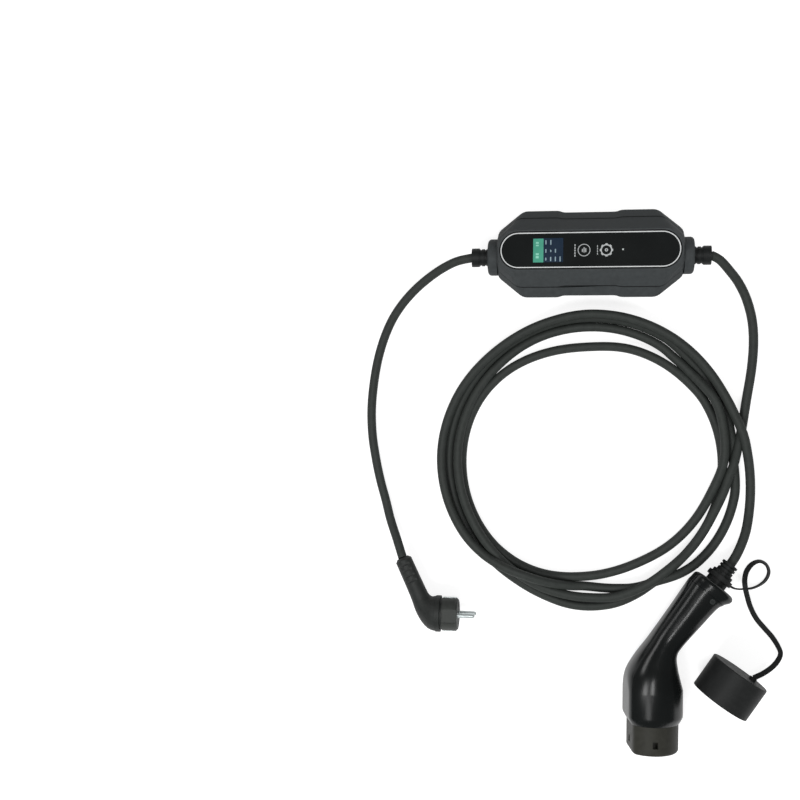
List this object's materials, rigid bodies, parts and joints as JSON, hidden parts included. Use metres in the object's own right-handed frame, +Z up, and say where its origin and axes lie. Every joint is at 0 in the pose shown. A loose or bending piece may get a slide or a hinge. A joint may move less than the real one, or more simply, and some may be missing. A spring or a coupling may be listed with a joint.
{
  "type": "portable ev charger",
  "caption": "Portable EV charger: control box with display panel, angled mains plug, coiled output cable and vehicle connector with a tethered dust cap.",
  "frame": {"origin": "bottom centre of the control box, on the surface that everything lies on", "axes": "+X along the control box towards its output end, +Y across the box away from the coil, +Z up"},
  "size_m": [0.4578, 0.578, 0.068],
  "materials": {
    "shell": "fine grain",
    "seal": "matte",
    "steel": "satin",
    "trim": "satin",
    "panel": "polished",
    "screen": "polished",
    "light": "clear",
    "contact": "plated",
    "board": "solder mask",
    "component": "moulded",
    "wire": "insulated",
    "relief": "matte",
    "cable": "satin",
    "connector": "polished",
    "nose": "satin",
    "plug": "satin",
    "cap": "matte"
  },
  "bodies": {
    "root": {"lower_shell": "shell", "upper_shell": "shell", "case_gasket": "seal", "case_screws": "steel", "panel_trim": "trim", "front_panel": "panel", "display": "screen", "touch_pads": "contact", "status_led": "light", "display_board": "board", "main_board": "board", "board_screws": "steel", "relays": "component", "current_transformer": "component", "power_module": "component", "capacitors": "component", "varistors": "component", "terminal_blocks": "component", "input_wires": "wire", "output_wires": "wire", "input_collar": "shell", "output_collar": "shell", "input_relief": "relief", "output_relief": "relief", "connector_housing": "connector", "nose_shroud": "nose", "contact_carrier": "nose", "power_sockets": "contact", "pilot_sockets": "contact", "connector_leads": "wire", "rear_cap": "connector", "rear_cap_screw": "steel", "gland_nut": "relief", "connector_relief": "relief", "tether_ring": "cap", "tether_strap": "cap", "dust_cap": "cap", "plug_body": "plug", "plug_face": "plug", "plug_pins": "steel", "earth_contacts": "steel", "input_cable": "cable", "output_lead": "cable", "output_coil": "cable", "output_tail": "cable"}
  },
  "joints": []
}
